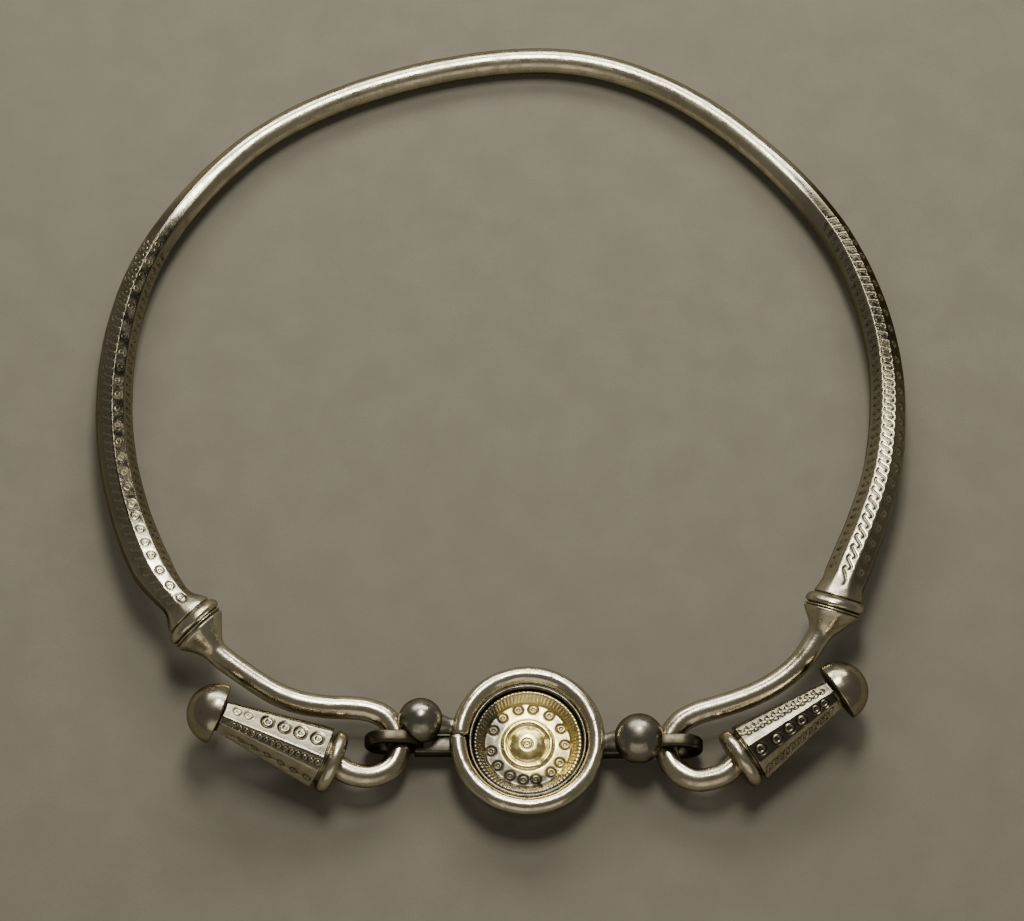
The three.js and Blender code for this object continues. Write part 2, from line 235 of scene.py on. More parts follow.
def silverFinish(name, look):
    # clean metal, warmer in places, under a grey veil, then tarnish, then dirt in the cuts; both darkenings also carry
    # painted shade in places, and gaps in the tarnish a painted highlight
    board = Board(name)
    recess = board.mark("recess")
    broad = board.noise(silverGrain["broad"], 4.0)
    fine = board.noise(silverGrain["fine"], 5.0)
    speck = board.noise(silverGrain["speck"], 3.0)
    drawn = board.place(silverGrain["scratchStretch"], silverGrain["scratchTurn"])
    scratch = board.noise(silverGrain["scratch"], 8.0, drawn, 0.7)
    tone = board.mix(board.ramp(broad, 0.35, 0.7, 0.0, 0.75), look["clean"], look["warm"])
    veil = board.math("MULTIPLY", board.ramp(fine, 0.42, 0.72), look["veilShare"])
    tone = board.mix(veil, tone, look["veil"])
    tarnish = board.mark("tarnish")
    darkened = board.math("MULTIPLY", tarnish, board.ramp(fine, 0.25, 0.7, 1.0, 0.94))
    tone = board.mix(darkened, tone, look["tarnish"])
    grimeAndShade = board.math("ADD", recess, board.math("MULTIPLY", board.ramp(fine, 0.5, 0.8), 0.18), clamp=True)
    tone = board.mix(board.ramp(grimeAndShade, 0.12, 0.95, 0.0, 0.93), tone, look["dirtAndShade"])
    board.feed(board.shader.inputs["Base Color"], tone)
    board.shader.inputs["Metallic"].default_value = 1.0
    # the grazing reflection is tinted dark: painted shade along the silhouettes
    board.shader.inputs["Specular Tint"].default_value = (*look["edge"], 1.0)

    rough = board.ramp(fine, 0.3, 0.75, look["gloss"], look["dull"])
    for mark, share in ((recess, 0.03), (tarnish, -0.06), (board.mark("matt"), 0.22)):
        rough = board.math("ADD", rough, board.math("MULTIPLY", mark, share), clamp=True)
    board.feed(board.shader.inputs["Roughness"], rough)

    grain = board.bump(speck, silverGrain["marks"], 0.4)
    grain = board.bump(scratch, silverGrain["marks"], 0.35, grain)
    grain = board.bump(broad, silverGrain["dents"], 0.25, grain)
    pits = board.ramp(board.cells(silverGrain["pits"]), 0.10, 0.22, 0.0, 1.0)
    pitted = board.math("MAXIMUM", pits, board.ramp(broad, 0.62, 0.5, 0.0, 1.0))
    grain = board.bump(pitted, silverGrain["marks"], 0.5, grain)
    board.feed(board.shader.inputs["Normal"], grain)
    return board.material


giltLook = {
    "gold": (1.0, 0.84, 0.37), "paleGold": (0.92, 0.77, 0.37),
    "bare": (0.34, 0.315, 0.25), "darkBare": (0.22, 0.2, 0.15), "dirtAndShade": (0.07, 0.05, 0.025),
    "gloss": 0.2, "dull": 0.38,
    "broad": 110.0, "fine": 600.0, "speck": 1900.0, "speckDepth": 0.00003, "broadDepth": 0.0002,
}


def giltFinish():
    look = giltLook
    board = Board("wornGilding")
    recess = board.mark("recess")
    worn = board.mark("worn")
    broad = board.noise(look["broad"], 4.0)
    fine = board.noise(look["fine"], 5.0)
    speck = board.noise(look["speck"], 2.0)
    gold = board.mix(board.ramp(broad, 0.35, 0.65), look["gold"], look["paleGold"])
    bare = board.mix(board.ramp(fine, 0.4, 0.65), look["bare"], look["darkBare"])
    patchy = board.math("MULTIPLY", board.math("SUBTRACT", broad, 0.5), 0.9)
    tone = board.mix(board.ramp(board.math("ADD", worn, patchy, clamp=True), 0.38, 0.62), gold, bare)
    # the dirt layer also holds painted shade in the gap at the plate's rim
    grimeAndShade = board.math("ADD", recess, board.math("MULTIPLY", board.ramp(fine, 0.55, 0.8), 0.25), clamp=True)
    tone = board.mix(board.ramp(grimeAndShade, 0.15, 0.95, 0.0, 0.92), tone, look["dirtAndShade"])
    board.feed(board.shader.inputs["Base Color"], tone)
    board.shader.inputs["Metallic"].default_value = 1.0
    rough = board.ramp(fine, 0.3, 0.75, look["gloss"], look["dull"])
    rough = board.math("ADD", rough, board.math("MULTIPLY", recess, 0.2), clamp=True)
    board.feed(board.shader.inputs["Roughness"], rough)
    grain = board.bump(speck, look["speckDepth"], 0.4)
    grain = board.bump(broad, look["broadDepth"], 0.35, grain)
    board.feed(board.shader.inputs["Normal"], grain)
    return board.material


def smoothStep(value, low, high):
    share = np.clip((value - low) / (high - low), 0.0, 1.0)
    return share * share * (3 - 2 * share)


def groove(distance, centre, width):
    return np.exp(-((distance - centre) / width) ** 2)


surfaceMarks = ("recess", "tarnish", "matt")


def wrapGrid(bm, spots, **marks):
    # a flat grid from the operator, its vertices carried to rows x columns of places
    rows, columns = spots.shape[:2]
    made = bmesh.ops.create_grid(bm, x_segments=columns - 1, y_segments=rows - 1, size=0.5)["verts"]
    layers = [(bm.verts.layers.float[name], values) for name, values in marks.items()]
    for vert in made:
        column = round((vert.co.x + 0.5) * (columns - 1))
        row = round((vert.co.y + 0.5) * (rows - 1))
        vert.co = spots[row, column]
        for layer, values in layers:
            vert[layer] = values[row, column]
    seam = [vert for vert in made if vert.is_boundary]
    bmesh.ops.remove_doubles(bm, verts=seam, dist=1e-6)


def startMesh():
    bm = bmesh.new()
    for name in surfaceMarks:
        bm.verts.layers.float.new(name)
    return bm


def finishPiece(bm, name, node, finish):
    bmesh.ops.dissolve_degenerate(bm, dist=1e-5, edges=bm.edges[:])
    bmesh.ops.recalc_face_normals(bm, faces=bm.faces[:])
    bmesh.ops.transform(bm, matrix=Matrix.Scale(mm, 4), verts=bm.verts[:])
    for face in bm.faces:
        face.smooth = True
    mesh = bpy.data.meshes.new(name)
    bm.to_mesh(mesh)
    bm.free()
    piece = bpy.data.objects.new(name, mesh)
    bpy.context.scene.collection.objects.link(piece)
    mesh.materials.append(finish)
    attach(piece, "root")
    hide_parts(node)
    triangles = sum(len(face.vertices) - 2 for face in mesh.polygons)
    print(name, "made,", triangles, "triangles")


hoopPlan = {
    "centre": (0.2, 3.4),
    # bearing anticlockwise from +X in degrees, radius of the centre line, width of the rod, inward roll
    "leftArm": [(209, 85.0, 8.6, 10.0), (190, 84.3, 7.9, 16.0), (171, 84.6, 7.3, 19.0), (154, 85.2, 6.3, 18.0)],
    "backRod": [(130, 84.7, 5.6, 0.0), (106, 83.8, 5.7, 0.0), (82, 86.6, 5.7, 0.0), (66, 86.6, 5.8, 0.0),
                (48, 84.8, 6.0, 0.0)],
    "rightArm": [(28, 84.5, 6.3, -8.0), (8, 84.1, 7.1, -4.0), (-12, 84.1, 8.2, 1.0), (-31, 85.2, 9.1, 2.0)],
    "backHeight": (89.0, 2.9),
    "frontHeight": (-50.0, 11.0),
    "neckWidth": 4.9,
    "rodEnd": 0.6,
    "leftHook": [
        (-64.3, -50.7, 11.0), (-59.9, -56.6, 9.8), (-54.8, -60.5, 8.8), (-47.2, -65.1, 7.5),
        (-42.0, -66.9, 6.9), (-36.7, -67.7, 6.5), (-31.4, -67.8, 6.2), (-27.2, -68.4, 6.0),
        (-23.7, -70.2, 5.7), (-21.1, -75.3, 5.3), (-22.9, -80.7, 5.5), (-26.8, -82.8, 6.0),
        (-31.4, -82.4, 6.7), (-35.4, -80.0, 7.1),
    ],
    "rightHook": [
        (70.7, -46.6, 11.0), (67.5, -52.6, 9.8), (63.5, -58.3, 8.7), (59.3, -62.0, 8.0),
        (54.8, -64.6, 7.4), (50.5, -66.3, 6.9), (46.0, -67.7, 6.5), (41.5, -69.0, 6.1),
        (37.7, -71.1, 5.7), (34.9, -76.0, 5.3), (36.6, -80.9, 5.6), (41.0, -83.7, 6.2),
        (46.8, -82.6, 6.9), (50.4, -79.3, 7.1),
    ],
    "leftFacing": (-45.5, 13.0),
    "rightFacing": (-107.0, 19.0),
    # distance from the collar's middle, arm side negative, and radius
    "collar": [
        (-2.35, 5.3), (-2.2, 5.05), (-2.05, 5.1), (-1.9, 5.6), (-1.6, 5.98), (-1.2, 6.24), (-0.75, 6.4),
        (-0.3, 6.42), (0.1, 6.25), (0.35, 5.95), (0.5, 5.5), (0.66, 5.45), (0.76, 5.95), (0.9, 6.08),
        (1.05, 6.0), (1.14, 5.6), (1.26, 5.55), (1.36, 6.0), (1.5, 6.05), (2.4, 5.45), (3.6, 4.55),
        (5.0, 3.5), (6.2, 2.8), (7.2, 2.5), (8.4, 2.45),
    ],
    "grooves": [(-2.12, 0.16), (0.58, 0.16), (1.2, 0.12)],
    "flare": 5.0,
    "squareness": 0.96,
    # spacing of the rows of the mesh between two distances from a collar, and elsewhere
    "rows": [(-99.5, -5.0, 0.23), (-5.0, -2.6, 0.3), (-2.6, 1.7, 0.13), (1.7, 9.0, 0.5)],
    "neckRows": 0.85,
    "backRows": 1.4,
    "topColumns": {1: 11, 2: 16, 3: 11},
    "plainTarnish": 0.12,
    # how dark each facet is near the collar and further up the arm; the side facets 0 and 4 are kept dark as painted
    # shade along the rod's edges
    "leftTarnishAndShade": {1: (0.4, 0.5), 2: (0.1, 1.0), 3: (0.45, 0.6), 0: (0.75, 0.75), 4: (0.75, 0.75),
                    "turning": (16.0, 30.0)},
    "rightTarnishAndShade": {1: (0.6, 1.0), 2: (0.22, 1.0), 3: (0.25, 0.5), 0: (0.75, 0.75), 4: (0.75, 0.75),
                     "turning": (40.0, 66.0)},
}
terminalPlan = {
    "ring": [
        (-1.82, 2.75), (-1.78, 4.2), (-1.66, 5.3), (-1.45, 6.0), (-1.05, 6.5), (-0.5, 6.8), (0.2, 6.83),
        (0.7, 6.65), (1.05, 6.3), (1.25, 5.85), (1.4, 5.45), (1.55, 5.3), (1.95, 5.3),
    ],
    # the step up from the ring to the taper: back from its start, radius, how faceted, share
    "shoulder": [(-0.12, 5.35, 0.5, 1.0), (-0.08, 5.5, 1.0, 0.96)],
    "taperStart": 2.15,
    "narrowShare": 0.5,
    "neckBack": 0.9,
    "ringRows": 0.32,
    "taperRows": 0.225,
    "columns": {1: 20, 2: 20, 3: 20},
    "cap": {"radius": 6.4, "height": 6.4, "lip": 0.25, "edge": [(-0.12, 0.2), (0.0, 0.04), (0.14, 0.0), (0.3, 0.02)]},
    "left": {"ring": (-35.4, -80.0, 7.1), "cap": (-58.6, -71.8, 13.2), "wide": 5.85, "narrow": 6.6, "roll": 28.0,
             "tarnish": {1: 0.68, 2: 0.6, 3: 0.1}},
    "right": {"ring": (50.4, -79.3, 7.1), "cap": (70.5, -66.1, 10.8), "wide": 6.05, "narrow": 6.35, "roll": 21.0,
              "tarnish": {1: 0.86, 2: 0.85, 3: 0.1}},
}
stampPlan = {
    # distances of the ring-and-dot stamps from the collar along the left arm
    "leftDots": [
        5.6, 8.9, 13.1, 17.2, 20.5, 23.9, 27.2, 30.3, 34.5, 38.2, 41.9, 45.9, 49.9, 54.1, 57.6, 61.0,
        64.6, 68.2, 72.1, 75.7, 79.9, 84.5, 88.2, 91.8, 96.7,
    ],
    "dotRadius": 1.03,
    "dotDepth": 0.22,
    "scrollDepth": 0.26,
    "armReach": 97.0,
    "leftTerminalDots": [4.3, 8.0, 11.4, 15.1, 19.3, 21.7],
    "rightTerminalDots": [4.1, 8.15, 11.6, 14.7, 18.5, 20.7],
}


def hoopKnots():
    def bend(stations, facets):
        made = []
        for bearing, radius, width, roll in stations:
            x = hoopPlan["centre"][0] + radius * math.cos(math.radians(bearing))
            y = hoopPlan["centre"][1] + radius * math.sin(math.radians(bearing))
            (backY, backZ), (frontY, frontZ) = hoopPlan["backHeight"], hoopPlan["frontHeight"]
            z = backZ + (y - backY) / (frontY - backY) * (frontZ - backZ)
            made.append((x, y, z, width, facets, roll))
        return made

    def hook(points, roll):
        return [(*point, hoopPlan["neckWidth"], 0.0, roll) for point in points]

    return np.array(
        hook(hoopPlan["leftHook"][::-1], 10.0)
        + bend(hoopPlan["leftArm"], 1.0)
        + bend(hoopPlan["backRod"], 0.0)
        + bend(hoopPlan["rightArm"], 1.0)
        + hook(hoopPlan["rightHook"], 2.0)
    )


def curveThrough(points, turn):
    # centripetal spline through the points, read at turn = 0 .. last
    padded = np.vstack([2 * points[0] - points[1], points, 2 * points[-1] - points[-2]])
    index = np.minimum(turn.astype(int), len(points) - 2)
    share = (turn - index)[:, None]
    a, b, c, d = (padded[index + k] for k in range(4))
    first, middle, last = (
        np.sqrt(np.linalg.norm(end - start, axis=1))[:, None] for start, end in ((a, b), (b, c), (c, d)))
    leave = ((b - a) / first - (c - a) / (first + middle) + (c - b) / middle) * middle
    arrive = ((c - b) / middle - (d - b) / (middle + last) + (d - c) / last) * middle
    return (b + leave * share + (3 * (c - b) - 2 * leave - arrive) * share ** 2
            + (2 * (b - c) + leave + arrive) * share ** 3)


def facedRadius(angle, roll, even, odd, crisp=60.0):
    # eight planes round the axis, blended so that their edges are slightly worn
    total = 0.0
    for k in range(8):
        reach = even if k % 2 == 0 else odd
        total = total + (np.maximum(np.cos(angle - roll - k * math.pi / 4), 0.0) / reach) ** crisp
    return total ** (-1.0 / crisp)


plainColumns = (-1.0, -0.8, 0.0, 0.8)


def columnTurns(counts):
    # where the columns stand on each facet: its number and a share from one edge to the next
    turns = []
    for k in range(8):
        shares = np.linspace(-1.0, 1.0, counts[k] + 1)[:-1] if k in counts else plainColumns
        turns += [(k, share) for share in shares]
    turns.append((8, -1.0))
    return turns


def dotRelief(u, v, radius):
    # ring and dot punch: outer groove, swelling ring, inner groove, raised dot
    d = np.hypot(u, v) / radius
    height = -groove(d, 0.86, 0.17) + 0.55 * groove(d, 0.57, 0.15) - 0.85 * groove(d, 0.28, 0.12)
    dirtAndShade = groove(d, 0.9, 0.2) + 0.9 * groove(d, 0.28, 0.13)
    return height, np.clip(dirtAndShade, 0, 1)


def scrollPoints(length, width, slant):
    # one S along u, leaning by slant
    q = np.linspace(-1.0, 1.0, 25)
    u = 0.5 * length * np.sin(q * math.pi / 2 * 1.05)
    v = -0.5 * width * np.sin(q * math.pi)
    lean = math.radians(slant)
    return np.stack([u * math.cos(lean) - v * math.sin(lean), u * math.sin(lean) + v * math.cos(lean)], 1)


def strokeDistance(u, v, points):
    best = np.full(u.shape, 9.0)
    for (au, av), (bu, bv) in zip(points[:-1], points[1:]):
        du, dv = bu - au, bv - av
        share = np.clip(((u - au) * du + (v - av) * dv) / (du * du + dv * dv), 0, 1)
        best = np.minimum(best, np.hypot(u - au - share * du, v - av - share * dv))
    return best


class Stamping:
    # collects the height and the dirt that punches leave on one facet
    def __init__(self, s, v, facet, k):
        self.s, self.v = s, v
        self.mine = facet == k
        self.height = np.zeros(v.shape)
        self.dirtAndShade = np.zeros(v.shape)
        self.rubbed = np.zeros(v.shape)

    def window(self, s, reach):
        rows = np.abs(self.s[:, None] - s) < reach
        return np.where(rows & self.mine[None, :])

    def dot(self, s, v, radius, depth, rubbed=0.55, stain=1.0):
        spot = self.window(s, radius * 1.4)
        height, dirtAndShade = dotRelief(self.s[spot[0]] - s, self.v[spot] - v, radius)
        self.height[spot] += depth * height
        self.dirtAndShade[spot] = np.maximum(self.dirtAndShade[spot], stain * dirtAndShade)
        ring = np.hypot(self.s[spot[0]] - s, self.v[spot] - v) / radius
        self.rubbed[spot] = np.maximum(self.rubbed[spot], rubbed * groove(ring, 0.57, 0.22))

    def stroke(self, s, v, points, width, depth, way=1.0, stain=1.0, ridge=0.0):
        # a cut line, or with ridge = 1 a raised line between two cut ones
        spot = self.window(s, np.abs(points[:, 0]).max() + 4 * width)
        d = strokeDistance((self.s[spot[0]] - s) * way, self.v[spot] - v, points) / width
        cut = np.exp(-d ** 2) * (1 - ridge) + groove(d, 1.9, 0.75) * ridge
        self.height[spot] = np.minimum(self.height[spot], -depth * cut) + 0.5 * ridge * depth * groove(d, 0.0, 0.9)
        self.dirtAndShade[spot] = np.maximum(self.dirtAndShade[spot] * (1 - ridge * groove(d, 0.0, 0.9)), stain * cut)
        self.rubbed[spot] = np.maximum(self.rubbed[spot], 0.75 * ridge * groove(d, 0.0, 0.9))

    def fadeEdges(self, v, half):
        soft = 1 - smoothStep(np.abs(v), half * 0.86, half * 1.0)
        return self.height * soft, self.dirtAndShade * soft


def gatherStamps(stampings, v, half):
    relief, dirtAndShade = np.zeros(v.shape), np.zeros(v.shape)
    for stamping in stampings:
        cut, stain = stamping.fadeEdges(v, half)
        relief += cut
        dirtAndShade = np.maximum(dirtAndShade, stain)
    return relief, dirtAndShade


def worked(points, size, seed):
    # slow unevenness of hammered and filed metal
    shift = Vector((seed * 3.7, seed * 1.3, seed * 2.1))
    return np.array([noise.noise(Vector(p) * size + shift) for p in points.reshape(-1, 3)]).reshape(points.shape[:-1])


def rodLine():
    # the centre line finely divided, its turn and its length so far
    knots = hoopKnots()
    turn = np.linspace(0, len(knots) - 1, 16001)
    line = curveThrough(knots[:, :3], turn)
    length = np.concatenate([[0], np.cumsum(np.linalg.norm(np.diff(line, axis=0), axis=1))])
    return knots, turn, line, length


def findCollars(knots, turn, length):
    # each collar's distance along the rod, the way its neck runs and where it faces
    collars = []
    for index, sign, facing in ((13, -1, hoopPlan["leftFacing"]), (len(knots) - 14, 1, hoopPlan["rightFacing"])):
        bearing, dip = math.radians(facing[0]), math.radians(facing[1])
        aim = np.array([math.cos(dip) * math.cos(bearing), math.cos(dip) * math.sin(bearing), -math.sin(dip)])
        collars.append((np.interp(index, turn, length), sign, aim))
    return collars


def rodMarks(collars, total):
    # where the rows stand; both ends stop inside the rings of the terminals
    leftAt, rightAt = collars[0][0], collars[1][0]

    def step(at):
        for middle, sign, _ in collars:
            for low, high, spacing in hoopPlan["rows"]:
                if low < sign * (at - middle) <= high:
                    return spacing
        return hoopPlan["neckRows"] if at < leftAt or at > rightAt else hoopPlan["backRows"]

    end = total - hoopPlan["rodEnd"]
    marks = [hoopPlan["rodEnd"]]
    while marks[-1] < end:
        marks.append(min(marks[-1] + step(marks[-1]), end))
    return np.array(marks)


def stampArms(leftS, rightS, v, facet):
    plan = stampPlan
    rng = random.Random(11)
    # left arm: scrolls outside, ring-and-dot on top, small paired punches inside
    topLeft = Stamping(leftS, v, facet, 2)
    for s in plan["leftDots"]:
        size = plan["dotRadius"] * float(np.interp(s, [25, 60], [1.0, 0.88]))
        depth = plan["dotDepth"] * float(np.interp(s, [15, 34], [1.0, 0.14]))
        rubbed = float(np.interp(s, [15, 36], [0.5, 0.14]))
        topLeft.dot(s, 0.12 * rng.uniform(-1, 1), size, depth, rubbed)
    outerLeft = Stamping(leftS, v, facet, 1)
    s = 6.0
    while s < plan["armReach"]:
        outerLeft.stroke(s, 0.45, scrollPoints(2.5, 0.6, -42.0), 0.2, 0.16, stain=0.5, ridge=1.0)
        s += 2.0 + rng.uniform(-0.12, 0.12)
    innerLeft = Stamping(leftS, v, facet, 3)
    innerRight = Stamping(rightS, v, facet, 3)
    for inner in (innerLeft, innerRight):
        s = 7.5
        while s < plan["armReach"] - 1.0:
            lift = rng.uniform(-0.1, 0.1)
            inner.dot(s, 0.42 + lift, 0.5, 0.09)
            inner.dot(s + 0.35, -0.42 + lift, 0.5, 0.09)
            s += 2.05 + rng.uniform(-0.1, 0.1)
    # right arm: ring-and-dot outside, a running chain of scrolls on top
    outerRight = Stamping(rightS, v, facet, 1)
    s = 8.0
    while s < plan["armReach"]:
        outerRight.dot(s, 0.0, 1.05, plan["dotDepth"], 0.9, 0.45)
        s += 3.75 + rng.uniform(-0.2, 0.2)
    topRight = Stamping(rightS, v, facet, 2)
    s = 5.9
    while s < plan["armReach"] + 0.5:
        slant = -float(np.interp(s, [5, 16, 40, 97], [10, 24, 38, 46]))
        points = scrollPoints(float(np.interp(s, [5, 20, 97], [3.3, 3.2, 2.7])), 1.0, slant)
        ridge = 1.0 if s > 62.0 else 0.0
        depth = plan["scrollDepth"] * (1 - 0.75 * ridge)
        across = 0.05 * rng.uniform(-1, 1)
        topRight.stroke(s, across, points, 0.18 - 0.05 * ridge, depth, -1.0, 0.95, ridge)
        s += float(np.interp(s, [5, 20, 50, 97], [2.9, 2.35, 2.0, 2.0])) + rng.uniform(-0.1, 0.1)
    return topLeft, outerLeft, innerLeft, innerRight, outerRight, topRight


def rodTarnishAndShade(leftS, rightS, facet, shape):
    plain = hoopPlan["plainTarnish"]
    tarnish = np.full(shape, plain)
    for s, shares in ((leftS, hoopPlan["leftTarnishAndShade"]), (rightS, hoopPlan["rightTarnishAndShade"])):
        onArm = smoothStep(s, 1.0, 6.0) * (1 - smoothStep(s, 100.0, 116.0))
        # facets 0 and 4, the sides, are set darker than the rest: painted shade along the rod's edges
        for k in range(8):
            near, far = shares.get(k, (0.4, 0.4))
            level = near + (far - near) * smoothStep(s, *shares["turning"])
            tarnish[:, facet == k] += (onArm * (level - plain))[:, None]
        cone = smoothStep(s, -7.5, -6.0) * (1 - smoothStep(s, -1.5, -1.2))
        tarnish += (0.06 * cone)[:, None]
    return tarnish


def rodSheet(bm):
    knots, turn, line, length = rodLine()
    collars = findCollars(knots, turn, length)
    marks = rodMarks(collars, length[-1])
    at = np.stack([np.interp(marks, length, line[:, k]) for k in range(3)], 1)
    slope = np.gradient(line, length, axis=0)
    along = np.stack([np.interp(marks, length, slope[:, k]) for k in range(3)], 1)
    where = np.interp(marks, length, turn)
    radius, facets, roll = (np.interp(where, np.arange(len(knots)), knots[:, k]) for k in (3, 4, 5))
    radius = radius / 2
    even = radius.copy()
    odd = radius * (1 - (1 - hoopPlan["squareness"]) * facets)
    collar = np.array(hoopPlan["collar"])
    start, end = collar[0, 0], collar[-1, 0]
    flared = start - hoopPlan["flare"]
    grimeAndShade = np.zeros(len(marks))
    for middle, sign, aim in collars:
        s = sign * (marks - middle)
        # the rod bends over to the collar's own facing
        lean = smoothStep(s, flared, start) * (1 - smoothStep(s, 1.3, end))
        along = along * (1 - lean[:, None]) + sign * aim * lean[:, None]
        along /= np.linalg.norm(along, axis=1)[:, None]
        # the facets widen and round off into its first lip
        flare = smoothStep(s, flared, start) ** 1.3
        inFlare = (s > flared) & (s < start)
        for plane in (radius, even, odd):
            plane[inFlare] = plane[inFlare] * (1 - flare[inFlare]) + collar[0, 1] * flare[inFlare]
        facets[inFlare] = 1 - 0.75 * flare[inFlare]
        onCollar = (s >= start) & (s <= end)
        turned = np.interp(s[onCollar], collar[:, 0], collar[:, 1])
        radius[onCollar] = turned
        even[onCollar] = turned
        odd[onCollar] = turned * 0.985
        facets[onCollar] = np.interp(s[onCollar], [start, start + 0.3, 1.4, 2.2, 6.0, end], [0.25, 0, 0, 0.45, 0.3, 0])
        for spot, width in hoopPlan["grooves"]:
            grimeAndShade = np.maximum(grimeAndShade, groove(s, spot, width))
    side = np.cross([0, 0, 1], along)
    side /= np.linalg.norm(side, axis=1)[:, None]
    top = np.cross(along, side)

    facet, share = (np.array(column) for column in zip(*columnTurns(hoopPlan["topColumns"])))
    halfEven = np.arctan(math.sqrt(2) * odd / even - 1)[:, None]
    half = np.where(facet % 2 == 0, halfEven, math.pi / 4 - halfEven)
    reach = np.where(facet % 2 == 0, even[:, None], odd[:, None])
    v = reach * np.tan(half) * share[None, :]
    angle = np.radians(roll)[:, None] + facet[None, :] * math.pi / 4 + np.arctan(v / reach)
    faced = facedRadius(angle, np.radians(roll)[:, None], even[:, None], odd[:, None])
    out = radius[:, None] * (1 - facets[:, None]) + faced * facets[:, None]

    leftS, rightS = marks - collars[0][0], collars[1][0] - marks
    stampings = stampArms(leftS, rightS, v, facet)
    relief, dirtAndShade = gatherStamps(stampings, v, reach * np.tan(half))
    dirtAndShade = np.maximum(dirtAndShade, grimeAndShade[:, None])

    direction = side[:, None] * np.cos(angle)[..., None] + top[:, None] * np.sin(angle)[..., None]
    bare = at[:, None] + direction * out[..., None]
    uneven = 0.055 * worked(bare[:, :-1], 0.16, 1) + 0.02 * worked(bare[:, :-1], 0.7, 2)
    uneven = np.concatenate([uneven, uneven[:, :1]], axis=1)
    spots = at[:, None] + direction * (out + relief + uneven)[..., None]

    tarnish = rodTarnishAndShade(leftS, rightS, facet, out.shape)
    # raised lines of the stamps are rubbed bright
    for k, stamping in enumerate(stampings):
        if k not in (2, 3):
            tarnish *= 1 - 0.9 * stamping.rubbed
    matt = np.zeros(out.shape)
    for s in (-leftS, -rightS):
        matt += (0.25 * smoothStep(s, -5.5, -3.0) * (1 - smoothStep(s, -1.9, -1.7)))[:, None]
        matt += (0.32 * smoothStep(s, 1.3, 1.6) * (1 - smoothStep(s, 6.5, 8.5)))[:, None]
    matt[:, facet % 8 == 3] += 0.3
    for grid in (spots, dirtAndShade, tarnish):
        grid[:, -1] = grid[:, 0]
    wrapGrid(bm, spots, recess=dirtAndShade, tarnish=tarnish, matt=matt)


def terminalRows(plan, length):
    # distance from the ring, radius, how faceted and share of the thick end, row by row
    profile, dome = terminalPlan["ring"], terminalPlan["cap"]
    taperStart, taperEnd = terminalPlan["taperStart"], length - terminalPlan["neckBack"]
    rows = []
    for (a, ra), (b, rb) in zip(profile[:-1], profile[1:]):
        pieces = max(1, round(math.hypot(b - a, rb - ra) / terminalPlan["ringRows"]))
        rows += [(a + (b - a) * k / pieces, ra + (rb - ra) * k / pieces, 0.0, 1.0) for k in range(pieces)]
    rows.append((*profile[-1], 0.0, 1.0))
    rows += [(taperStart + back, *rest) for back, *rest in terminalPlan["shoulder"]]
    count = round((taperEnd - taperStart) / terminalPlan["taperRows"])
    for k in range(count + 1):
        part = k / count
        share = 1 + (terminalPlan["narrowShare"] - 1) * part
        rows.append((taperStart + (taperEnd - taperStart) * part, plan["wide"] * share, 1.0, share))
    # the hollow neck under the cap
    thin = plan["wide"] * terminalPlan["narrowShare"]
    for k in range(1, 8):
        turn = k / 8 * math.pi / 2
        wider = (dome["radius"] - dome["lip"] - thin) * (1 - math.cos(turn))
        rows.append((taperEnd + 0.75 * math.sin(turn), thin + wider, 1 - k / 8, 0.5))
    rim = length + 0.1
    rows += [(rim + ahead, dome["radius"] - inside, 0, 1) for ahead, inside in dome["edge"]]
    for k in range(1, 20):
        turn = k / 20 * math.pi / 2
        rows.append((rim + 0.3 + dome["height"] * math.sin(turn), dome["radius"] * math.cos(turn), 0, 1))
    rows.append((rim + 0.3 + dome["height"], 0.0, 0, 1))
    return (np.array(column, dtype=float) for column in zip(*rows))


def stampTerminal(s, v, facet, left):
    upper, middle, lower = (Stamping(s, v, facet, k) for k in (1, 2, 3))
    if left:
        for k, at in enumerate(stampPlan["leftTerminalDots"]):
            size, depth = (1.4, 0.34) if k < 4 else (0.95, 0.12)
            upper.dot(at + 0.4, -0.4, size, depth, 0.8)
        at = 3.0
        while at < 22.5:
            middle.dot(at, 0.0, 0.78 * (1 - at / 90), 0.2)
            at += 1.45
        at = 3.6
        while at < 22.0:
            across = 0.6 * (1 - at / 40)
            lower.dot(at, across, 1.0 * (1 - at / 50), 0.18)
            lower.stroke(at + 1.5, across, scrollPoints(1.7, 0.8, 40.0), 0.16, 0.22, stain=0.8)
            at += 3.1
    else:
        rng = random.Random(8)
        for k, at in enumerate(stampPlan["rightTerminalDots"]):
            middle.dot(at, rng.uniform(-0.2, 0.2), 1.3 if k < 4 else 1.05, 0.22)
        at = 3.2
        while at < 22.0:
            narrowing = 1 - at / 40
            upper.stroke(at, -0.75 * narrowing, scrollPoints(2.2, 0.75, 42.0), 0.17, 0.26, ridge=1.0)
            lower.stroke(at, 0.7 * narrowing, scrollPoints(2.2, 0.75, -42.0), 0.17, 0.26, ridge=1.0)
            at += 1.6
    return upper, middle, lower


